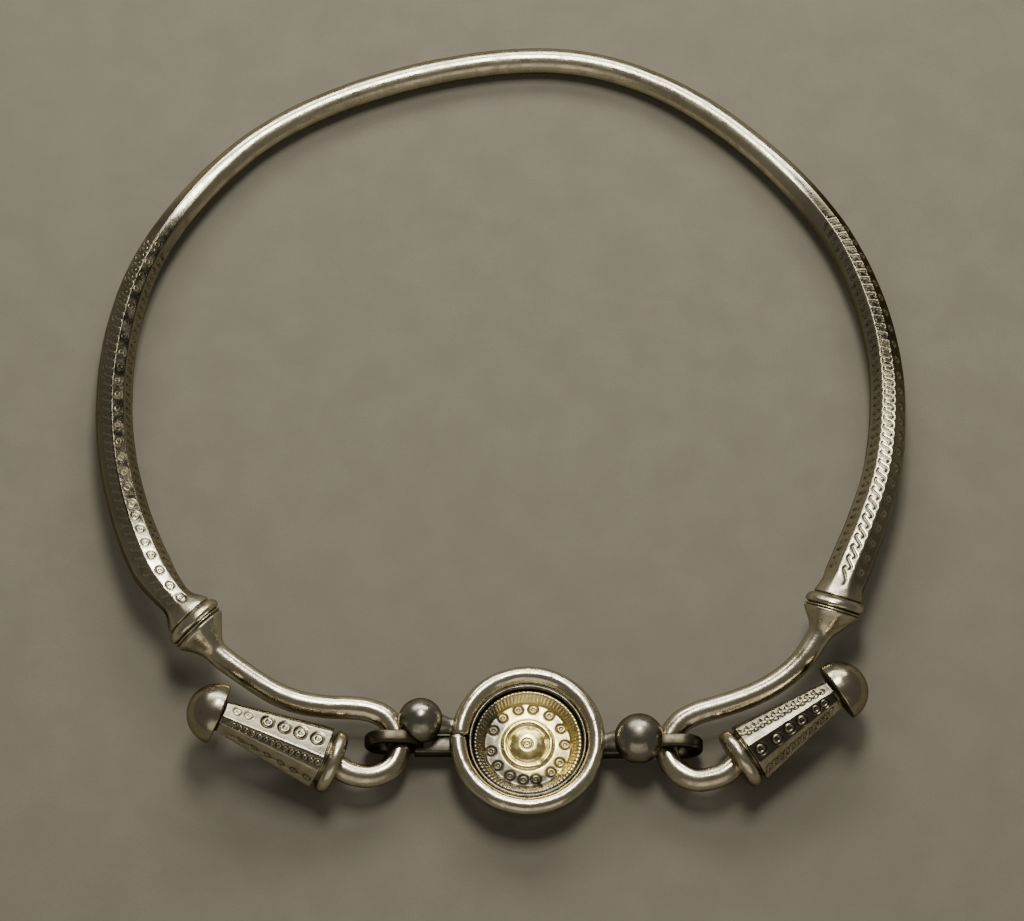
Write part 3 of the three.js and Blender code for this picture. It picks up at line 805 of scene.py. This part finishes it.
def terminalSheet(bm, plan, left):
    ring, cap = np.array(plan["ring"]), np.array(plan["cap"])
    length = np.linalg.norm(cap - ring)
    along = (cap - ring) / length
    side = np.cross([0, 0, 1], along)
    side /= np.linalg.norm(side)
    top = np.cross(along, side)
    if left:
        side = -side
    taperStart, taperEnd = terminalPlan["taperStart"], length - terminalPlan["neckBack"]
    s, radius, facets, share = terminalRows(plan, length)
    even = plan["narrow"] * share
    odd = plan["wide"] * share

    facet, part = (np.array(column) for column in zip(*columnTurns(terminalPlan["columns"])))
    halfEven = math.atan(math.sqrt(2) * plan["wide"] / plan["narrow"] - 1)
    half = np.where(facet % 2 == 0, halfEven, math.pi / 4 - halfEven)
    flat = np.where(facet[None, :] % 2 == 0, even[:, None], odd[:, None])
    v = flat * np.tan(half)[None, :] * part[None, :]
    roll = math.radians(plan["roll"])
    angle = roll + facet[None, :] * math.pi / 4 + np.arctan(v / flat)
    faced = facedRadius(angle, roll, even[:, None], odd[:, None])
    out = radius[:, None] * (1 - facets[:, None]) + faced * facets[:, None]

    stampings = stampTerminal(s, v, facet, left)
    relief, dirtAndShade = gatherStamps(stampings, v, flat * np.tan(half)[None, :])
    out = out + relief
    dirtAndShade = np.maximum(dirtAndShade, (0.9 * groove(s, 1.72, 0.35))[:, None])
    dirtAndShade = np.maximum(dirtAndShade, (0.8 * groove(s, taperEnd + 0.5, 0.5))[:, None])

    direction = side * np.cos(angle)[..., None] + top * np.sin(angle)[..., None]
    axis = ring + along * s[:, None]
    bare = axis[:, None] + direction * out[..., None]
    uneven = 0.06 * worked(bare[:, :-1], 0.22, 4) + 0.03 * worked(bare[:, :-1], 0.6, 5)
    uneven = np.concatenate([uneven, uneven[:, :1]], axis=1) * np.minimum(out, 1.0)
    spots = axis[:, None] + direction * (out + uneven)[..., None]

    onTaper = (s > taperStart - 0.1) & (s < taperEnd)
    tarnish = np.where(s > taperEnd, 0.4, 0.1)[:, None] * np.ones(len(facet))
    for k in range(8):
        tarnish[np.ix_(onTaper, facet == k)] = plan["tarnish"].get(k, 0.6)
    # less tarnish in strips beside the narrow middle facet: a painted highlight
    upperHighlightStrip = (facet == 1) * smoothStep(part, 0.3, 0.5) * (not left)
    lowerHighlightStrip = (facet == 3) * smoothStep(-part, 0.3, 0.5)
    tarnish -= onTaper[:, None] * (0.45 * np.maximum(upperHighlightStrip, lowerHighlightStrip))[None, :]
    for stamping in stampings:
        tarnish *= 1 - 0.9 * stamping.rubbed
    tarnish = np.clip(tarnish, 0, 1)
    matt = np.where(s > taperEnd, 0.12, np.where(onTaper, 0.28, 0.1))[:, None] * np.ones(len(facet))
    for grid in (spots, dirtAndShade, tarnish):
        grid[:, -1] = grid[:, 0]
    wrapGrid(bm, spots, recess=dirtAndShade, tarnish=tarnish, matt=matt)


def makeHoop(finish):
    bm = startMesh()
    rodSheet(bm)
    for key in ("left", "right"):
        plan = terminalPlan[key]
        terminalSheet(bm, plan, key == "left")
        ring, cap = Vector(plan["ring"]), Vector(plan["cap"])
        ends = [edge for edge in bm.edges if edge.is_boundary and (edge.verts[0].co - ring).length < 5.0]
        bmesh.ops.holes_fill(bm, edges=ends, sides=0)
        tip = [vert for vert in bm.verts if (vert.co - cap).length < 9.0]
        bmesh.ops.remove_doubles(bm, verts=tip, dist=1e-4)
    finishPiece(bm, "hoop_forged", "hoop", finish)


bezelPlan = {
    "centre": (5.8, -75.6),
    "wire": {"radius": 14.4, "thick": 1.83, "height": 8.0, "joint": 176.5, "pinch": 0.42, "rows": 260, "columns": 33},
    # radius and height round the cup, from the middle of its base out, up and back in
    "cup": [
        (0.0, 0.0), (11.9, 0.0), (12.3, 0.1), (12.5, 0.5), (12.75, 3.2), (13.0, 5.6), (12.95, 6.0), (12.45, 6.2),
        (12.35, 6.4), (12.35, 7.9), (12.2, 8.05), (11.9, 8.05), (11.75, 7.9), (11.72, 6.0), (11.1, 5.8), (11.1, 1.2),
        (0.0, 1.2),
    ],
    "disc": [
        (0.0, 4.4), (9.3, 4.4), (10.3, 5.8), (11.45, 6.15), (11.5, 6.45), (11.35, 6.75), (11.1, 6.88), (10.8, 6.85),
        (10.5, 6.65), (10.2, 6.35), (9.75, 5.85), (9.35, 5.3), (9.05, 4.95), (8.8, 4.92), (7.4, 5.1), (6.1, 5.2),
        (5.8, 5.2), (5.6, 5.24), (5.45, 5.4), (5.1, 5.62), (4.8, 5.66), (4.5, 5.55), (4.25, 5.25), (4.05, 5.15),
        (3.85, 5.3), (3.5, 5.58), (2.9, 5.84), (2.0, 6.06), (1.0, 6.18), (0.0, 6.2),
    ],
    "dotBearings": [104.8, 81.5, 54.4, 26.2, -0.8, -30.8, -51.4, -77.4, -96.9, -118.4, -143.3, -169.1, 156.9, 132.3],
    "dotCircle": 7.85,
    "dotRadius": 1.12,
    "beads": 84,
    # bearing, radius, size and depth of the dents round the boss
    "dents": [(80, 4.0, 0.9, 0.18), (15, 4.3, 0.7, 0.14), (-60, 4.6, 0.8, 0.2), (-120, 3.4, 0.9, 0.16),
              (165, 3.6, 0.8, 0.14), (-20, 3.0, 0.7, 0.1)],
    "crack": [(2.1, -8.1), (2.5, -8.9), (2.9, -9.5)],
    "lugs": [
        {"side": -1, "ball": (-16.7, -71.2, 8.0), "ballRadius": 4.7, "eyeTip": -28.5, "eyeEnd": -15.5,
         "holeEnd": -18.5, "eyeY": -75.1, "strapY": -75.5, "strapEnd": -18.1},
        {"side": 1, "ball": (29.1, -75.2, 8.0), "ballRadius": 5.25, "eyeTip": 42.6, "eyeEnd": 30.0,
         "holeEnd": 32.5, "eyeY": -76.0, "strapY": -75.8, "strapEnd": 32.2},
    ],
    "eye": {"height": 5.4, "outer": 4.7, "band": 1.75, "thick": 2.8},
    # the strap's darkening is painted shade under the ball; its matt is dullness
    "strap": {"low": 1.6, "high": 5.6, "width": 3.8, "marks": {"recess": 0.4, "tarnish": 0.6, "matt": 0.6}},
    # distance from the wall of the cup toward the ball, and radius
    "neck": [(0.0, 1.9), (0.35, 1.95), (0.55, 2.35), (0.8, 2.6), (1.05, 2.35), (1.3, 1.8), (1.7, 1.7), (1.95, 2.1),
             (2.2, 2.3), (2.45, 2.1), (2.7, 1.7), (3.4, 1.75), (5.0, 2.2), (6.5, 2.6)],
}


def turnedShape(bm, profile, steps, spacing):
    # a profile drawn point by point and spun about the bezel's middle
    cx, cy = bezelPlan["centre"]
    points = [profile[0]]
    for (a, ha), (b, hb) in zip(profile[:-1], profile[1:]):
        pieces = max(1, round(math.hypot(b - a, hb - ha) / spacing))
        points += [(a + (b - a) * k / pieces, ha + (hb - ha) * k / pieces) for k in range(1, pieces + 1)]
    last = bm.verts.new((cx + points[0][0], cy, points[0][1]))
    geometry = [last]
    for radius, height in points[1:]:
        made = bmesh.ops.extrude_vert_indiv(bm, verts=[last])
        geometry += made["verts"] + made["edges"]
        last = made["verts"][0]
        last.co = (cx + radius, cy, height)
    bmesh.ops.spin(bm, geom=geometry, cent=(cx, cy, 0), axis=(0, 0, 1), angle=2 * math.pi, steps=steps, use_merge=True)
    bmesh.ops.remove_doubles(bm, verts=bm.verts[:], dist=1e-4)


def makeRim(finish):
    plan = bezelPlan["wire"]
    cx, cy = bezelPlan["centre"]
    bm = startMesh()
    columns = plan["columns"]
    start = math.radians(plan["joint"])
    turn = np.linspace(0, 2 * math.pi, plan["rows"] + 1)
    away = np.minimum(turn, 2 * math.pi - turn) * plan["radius"]
    # the lower end stands a little outward of the upper one at the joint
    settle = 0.28 * np.exp(-turn * plan["radius"] / 6.0) - 0.12 * np.exp(-(2 * math.pi - turn) * plan["radius"] / 5.0)
    pinch = plan["pinch"] * groove(away, 0.0, 0.33)
    angle = np.linspace(0, 2 * math.pi, columns)
    radius = plan["radius"] + settle
    tube = (plan["thick"] - pinch)[:, None] * np.ones(columns)[None, :]
    heading = np.stack([np.cos(start + turn), np.sin(start + turn), np.zeros(len(turn))], 1)
    centre = np.array([cx, cy, plan["height"]]) + heading * radius[:, None]
    direction = heading[:, None] * np.cos(angle)[None, :, None] + np.array([0, 0, 1.0]) * np.sin(angle)[None, :, None]
    bare = centre[:, None] + direction * tube[..., None]
    tube = tube + 0.07 * worked(bare, 0.28, 7) + 0.03 * worked(bare, 0.9, 8)
    closing = smoothStep(away, 0.0, 1.0)
    tube = tube * closing[:, None] + (plan["thick"] - pinch)[:, None] * (1 - closing)[:, None]
    spots = centre[:, None] + direction * tube[..., None]
    marks = np.repeat(0.95 * groove(away, 0.0, 0.3)[:, None], columns, axis=1)
    spots[:, -1] = spots[:, 0]
    spots[-1] = spots[0]
    wrapGrid(bm, spots, recess=marks)
    bmesh.ops.remove_doubles(bm, verts=[vert for vert in bm.verts if vert.is_boundary], dist=1e-3)
    finishPiece(bm, "bezel_wire", "bezel_rim", finish)


def makeDisc(finish):
    plan = bezelPlan
    cx, cy = plan["centre"]
    bm = startMesh()
    turnedShape(bm, plan["disc"], 300, 0.17)
    worn = bm.verts.layers.float.new("worn")
    recess = bm.verts.layers.float["recess"]
    verts = [vert for vert in bm.verts if vert.co.z > 4.9]
    place = np.array([vert.co for vert in verts])
    x, y = place[:, 0] - cx, place[:, 1] - cy
    r, bearing = np.hypot(x, y), np.degrees(np.arctan2(y, x))
    lift, dirtAndShade = np.zeros(len(r)), np.zeros(len(r))
    for angle in plan["dotBearings"]:
        ax = plan["dotCircle"] * math.cos(math.radians(angle))
        ay = plan["dotCircle"] * math.sin(math.radians(angle))
        height, stain = dotRelief(x - ax, y - ay, plan["dotRadius"])
        lift += 0.26 * height
        dirtAndShade = np.maximum(dirtAndShade, 0.95 * stain)
    height, stain = dotRelief(x + 0.1, y + 0.15, 1.25)
    lift += 0.22 * height
    dirtAndShade = np.maximum(dirtAndShade, 0.55 * stain)
    # milled edge: slanting beads, bold on the left, finer on the right, faint at the top
    turns = np.radians(bearing)
    slant = (r - 10.3) * 0.016
    coarse = 0.5 + 0.5 * np.sin((turns + slant) * plan["beads"])
    edge = smoothStep(r, 9.35, 9.8) * (1 - 0.5 * smoothStep(r, 11.3, 11.5))
    deep = 0.25 + 0.5 * np.cos(turns) ** 2 - 0.2 * np.cos(turns)
    lift -= edge * deep * 0.45 * (1 - coarse ** 0.6)
    dirtAndShade = np.maximum(dirtAndShade, edge * smoothStep(-coarse, -0.5, -0.05) * (0.4 + 0.5 * deep))
    # dirt lies in the rings between the steps
    dirtAndShade = np.maximum(dirtAndShade, 0.6 * groove(r, 9.2, 0.22) + 0.55 * groove(r, 4.1, 0.2) + 0.5 * groove(r, 5.75, 0.16))
    # the plate's outer rim, in the gap against the wire, is darkened: painted shade
    dirtAndShade = np.maximum(dirtAndShade, 0.6 * smoothStep(r, 11.2, 11.45))
    dirtAndShade = np.maximum(dirtAndShade, 0.3 * smoothStep(r, 5.8, 6.4) * (1 - smoothStep(r, 8.8, 9.2)))
    for angle, radius, size, depth in plan["dents"]:
        ax, ay = radius * math.cos(math.radians(angle)), radius * math.sin(math.radians(angle))
        lift -= depth * np.exp(-((x - ax) ** 2 + (y - ay) ** 2) / size ** 2)
    crack = np.exp(-(strokeDistance(x, y, np.array(plan["crack"])) / 0.17) ** 2)
    lift -= 0.35 * crack
    dirtAndShade = np.maximum(dirtAndShade, crack)
    wear = smoothStep(-x - 0.35 * y + 1.0 * np.sin(bearing / 20), 1.5, 6.5) * smoothStep(r, 5.4, 6.4)
    wear = np.maximum(wear, smoothStep(-y, 5.0, 8.5) * smoothStep(r, 5.9, 6.8))
    for k, vert in enumerate(verts):
        vert.co.z += lift[k] + 0.05 * noise.noise(vert.co * 0.5)
        vert[recess] = min(1.0, dirtAndShade[k])
        vert[worn] = wear[k]
    finishPiece(bm, "gilt_plate", "gilt_disc", finish)


def slotPath(lug, count):
    # the middle line of an eye's band in its upright plane, as places and outward directions
    eye, way = bezelPlan["eye"], lug["side"]
    radius = eye["outer"] - eye["band"] / 2
    tip = lug["eyeTip"] - way * eye["outer"]
    near = (lug["eyeEnd"] + lug["holeEnd"]) / 2 + way * radius
    straight, bend = abs(tip - near), math.pi * radius
    places, outward = [], []
    for k in range(count + 1):
        d = 2 * (straight + bend) * (k % count) / count
        if d < straight:
            foot, out = near + way * d, (0.0, 1.0)
        elif d < straight + bend:
            a = math.pi / 2 - (d - straight) / radius
            foot, out = tip, (way * math.cos(a), math.sin(a))
        elif d < 2 * straight + bend:
            foot, out = tip - way * (d - straight - bend), (0.0, -1.0)
        else:
            a = -math.pi / 2 - (d - 2 * straight - bend) / radius
            foot, out = near, (way * math.cos(a), math.sin(a))
        places.append((foot + out[0] * radius, out[1] * radius))
        outward.append(out)
    return np.array(places), np.array(outward)


def addEye(bm, lug):
    eye = bezelPlan["eye"]
    places, outward = slotPath(lug, 120)
    angle = np.linspace(0, 2 * math.pi, 29)
    # a flattened, softly squared band
    wide = np.sign(np.cos(angle)) * np.abs(np.cos(angle)) ** 0.5 * eye["thick"] / 2
    deep = np.sign(np.sin(angle)) * np.abs(np.sin(angle)) ** 0.5 * eye["band"] / 2
    centre = np.stack([places[:, 0], np.full(len(places), lug["eyeY"]), places[:, 1] + eye["height"]], 1)
    out = np.stack([outward[:, 0], np.zeros(len(places)), outward[:, 1]], 1)
    spots = centre[:, None] + out[:, None] * deep[None, :, None] + np.array([0, 1.0, 0]) * wide[None, :, None]
    spots = spots + 0.04 * worked(spots, 0.5, 9)[..., None]
    spots[:, -1] = spots[:, 0]
    spots[-1] = spots[0]
    marks = np.full(spots.shape[:2], 0.55)
    # the inner face of the band, round the eye's hole, is darker still: painted shade
    marks[:, deep < -0.5] = 0.7
    wrapGrid(bm, spots, recess=marks, tarnish=np.minimum(marks * 2, 1), matt=marks)
    bmesh.ops.remove_doubles(bm, verts=[vert for vert in bm.verts if vert.is_boundary], dist=1e-3)


def addStrap(bm, lug):
    strap = bezelPlan["strap"]
    wall = bezelPlan["centre"][0] + lug["side"] * 11.6
    end = lug["strapEnd"]
    size = (abs(end - wall), strap["width"], strap["high"] - strap["low"])
    middle = ((end + wall) / 2, lug["strapY"], (strap["high"] + strap["low"]) / 2)
    made = bmesh.ops.create_cube(bm, size=1.0)["verts"]
    bmesh.ops.scale(bm, vec=size, verts=made)
    bmesh.ops.translate(bm, vec=middle, verts=made)
    edges = list({edge for vert in made for edge in vert.link_edges})
    bmesh.ops.bevel(bm, geom=edges, offset=0.5, offset_type="OFFSET", segments=3, profile=0.5, affect="EDGES",
                    material=-1)
    # the strap and the wall behind it are dulled and darkened: the darkening is painted shade under the ball
    for vert in bm.verts:
        alongStrap = abs(vert.co.x - middle[0]) <= size[0] / 2 + 0.01
        if alongStrap and abs(vert.co.y - middle[1]) <= size[1] and vert.co.z < strap["high"] + 0.1:
            for name, level in strap["marks"].items():
                vert[bm.verts.layers.float[name]] = level


def addBall(bm, lug):
    made = bmesh.ops.create_uvsphere(bm, u_segments=64, v_segments=40, radius=lug["ballRadius"])["verts"]
    for vert in made:
        vert.co *= 1 + 0.012 * noise.noise(vert.co * 0.35 + Vector((lug["side"] * 4.0, 2.0, 1.0)))
    bmesh.ops.translate(bm, vec=lug["ball"], verts=made)


def addNeck(bm, lug):
    cx, cy = bezelPlan["centre"]
    root = Vector((cx + lug["side"] * 12.4, lug["ball"][1] * 0.7 + cy * 0.3, 5.6))
    aim = Vector(lug["ball"]) - root
    turn = aim.to_track_quat("Z", "Y").to_matrix().to_4x4()
    points = [(s * aim.length / 9.0 + 0.6, r) for s, r in bezelPlan["neck"]]
    angle = np.linspace(0, 2 * math.pi, 37)
    spots = np.array([[turn @ Vector((r * math.cos(a), r * math.sin(a), s)) + root for a in angle] for s, r in points])
    marks = np.full(spots.shape[:2], 0.2)
    wrapGrid(bm, spots, recess=marks, matt=marks * 2)
    bmesh.ops.holes_fill(bm, edges=[edge for edge in bm.edges if edge.is_boundary])


def makeCup(finish):
    bm = startMesh()
    turnedShape(bm, bezelPlan["cup"], 160, 1.2)
    for lug in bezelPlan["lugs"]:
        addStrap(bm, lug)
        addBall(bm, lug)
        addNeck(bm, lug)
        addEye(bm, lug)
    recess = bm.verts.layers.float["recess"]
    cx, cy = bezelPlan["centre"]
    for vert in bm.verts:
        # the foot of the cup, where it meets the floor, is darkened: painted shade
        if vert.co.z < 1.0:
            vert[recess] = max(vert[recess], 0.35)
        # the lip and inner wall of the cup behind the wire and the plate are darkened: painted shade in the gap
        if math.hypot(vert.co.x - cx, vert.co.y - cy) < 12.6 and vert.co.z > 4.0:
            vert[recess] = 0.55
    finishPiece(bm, "bezel_body", "bezel_cup", finish)


setCamera()
setLamps()
makeFloor()
print("stage set")
makeHoop(silverFinish("oldSilver", silverLooks["bright"]))
makeRim(silverFinish("wornSilver", silverLooks["worn"]))
makeCup(silverFinish("darkenedSilver", silverLooks["dark"]))
makeDisc(giltFinish())
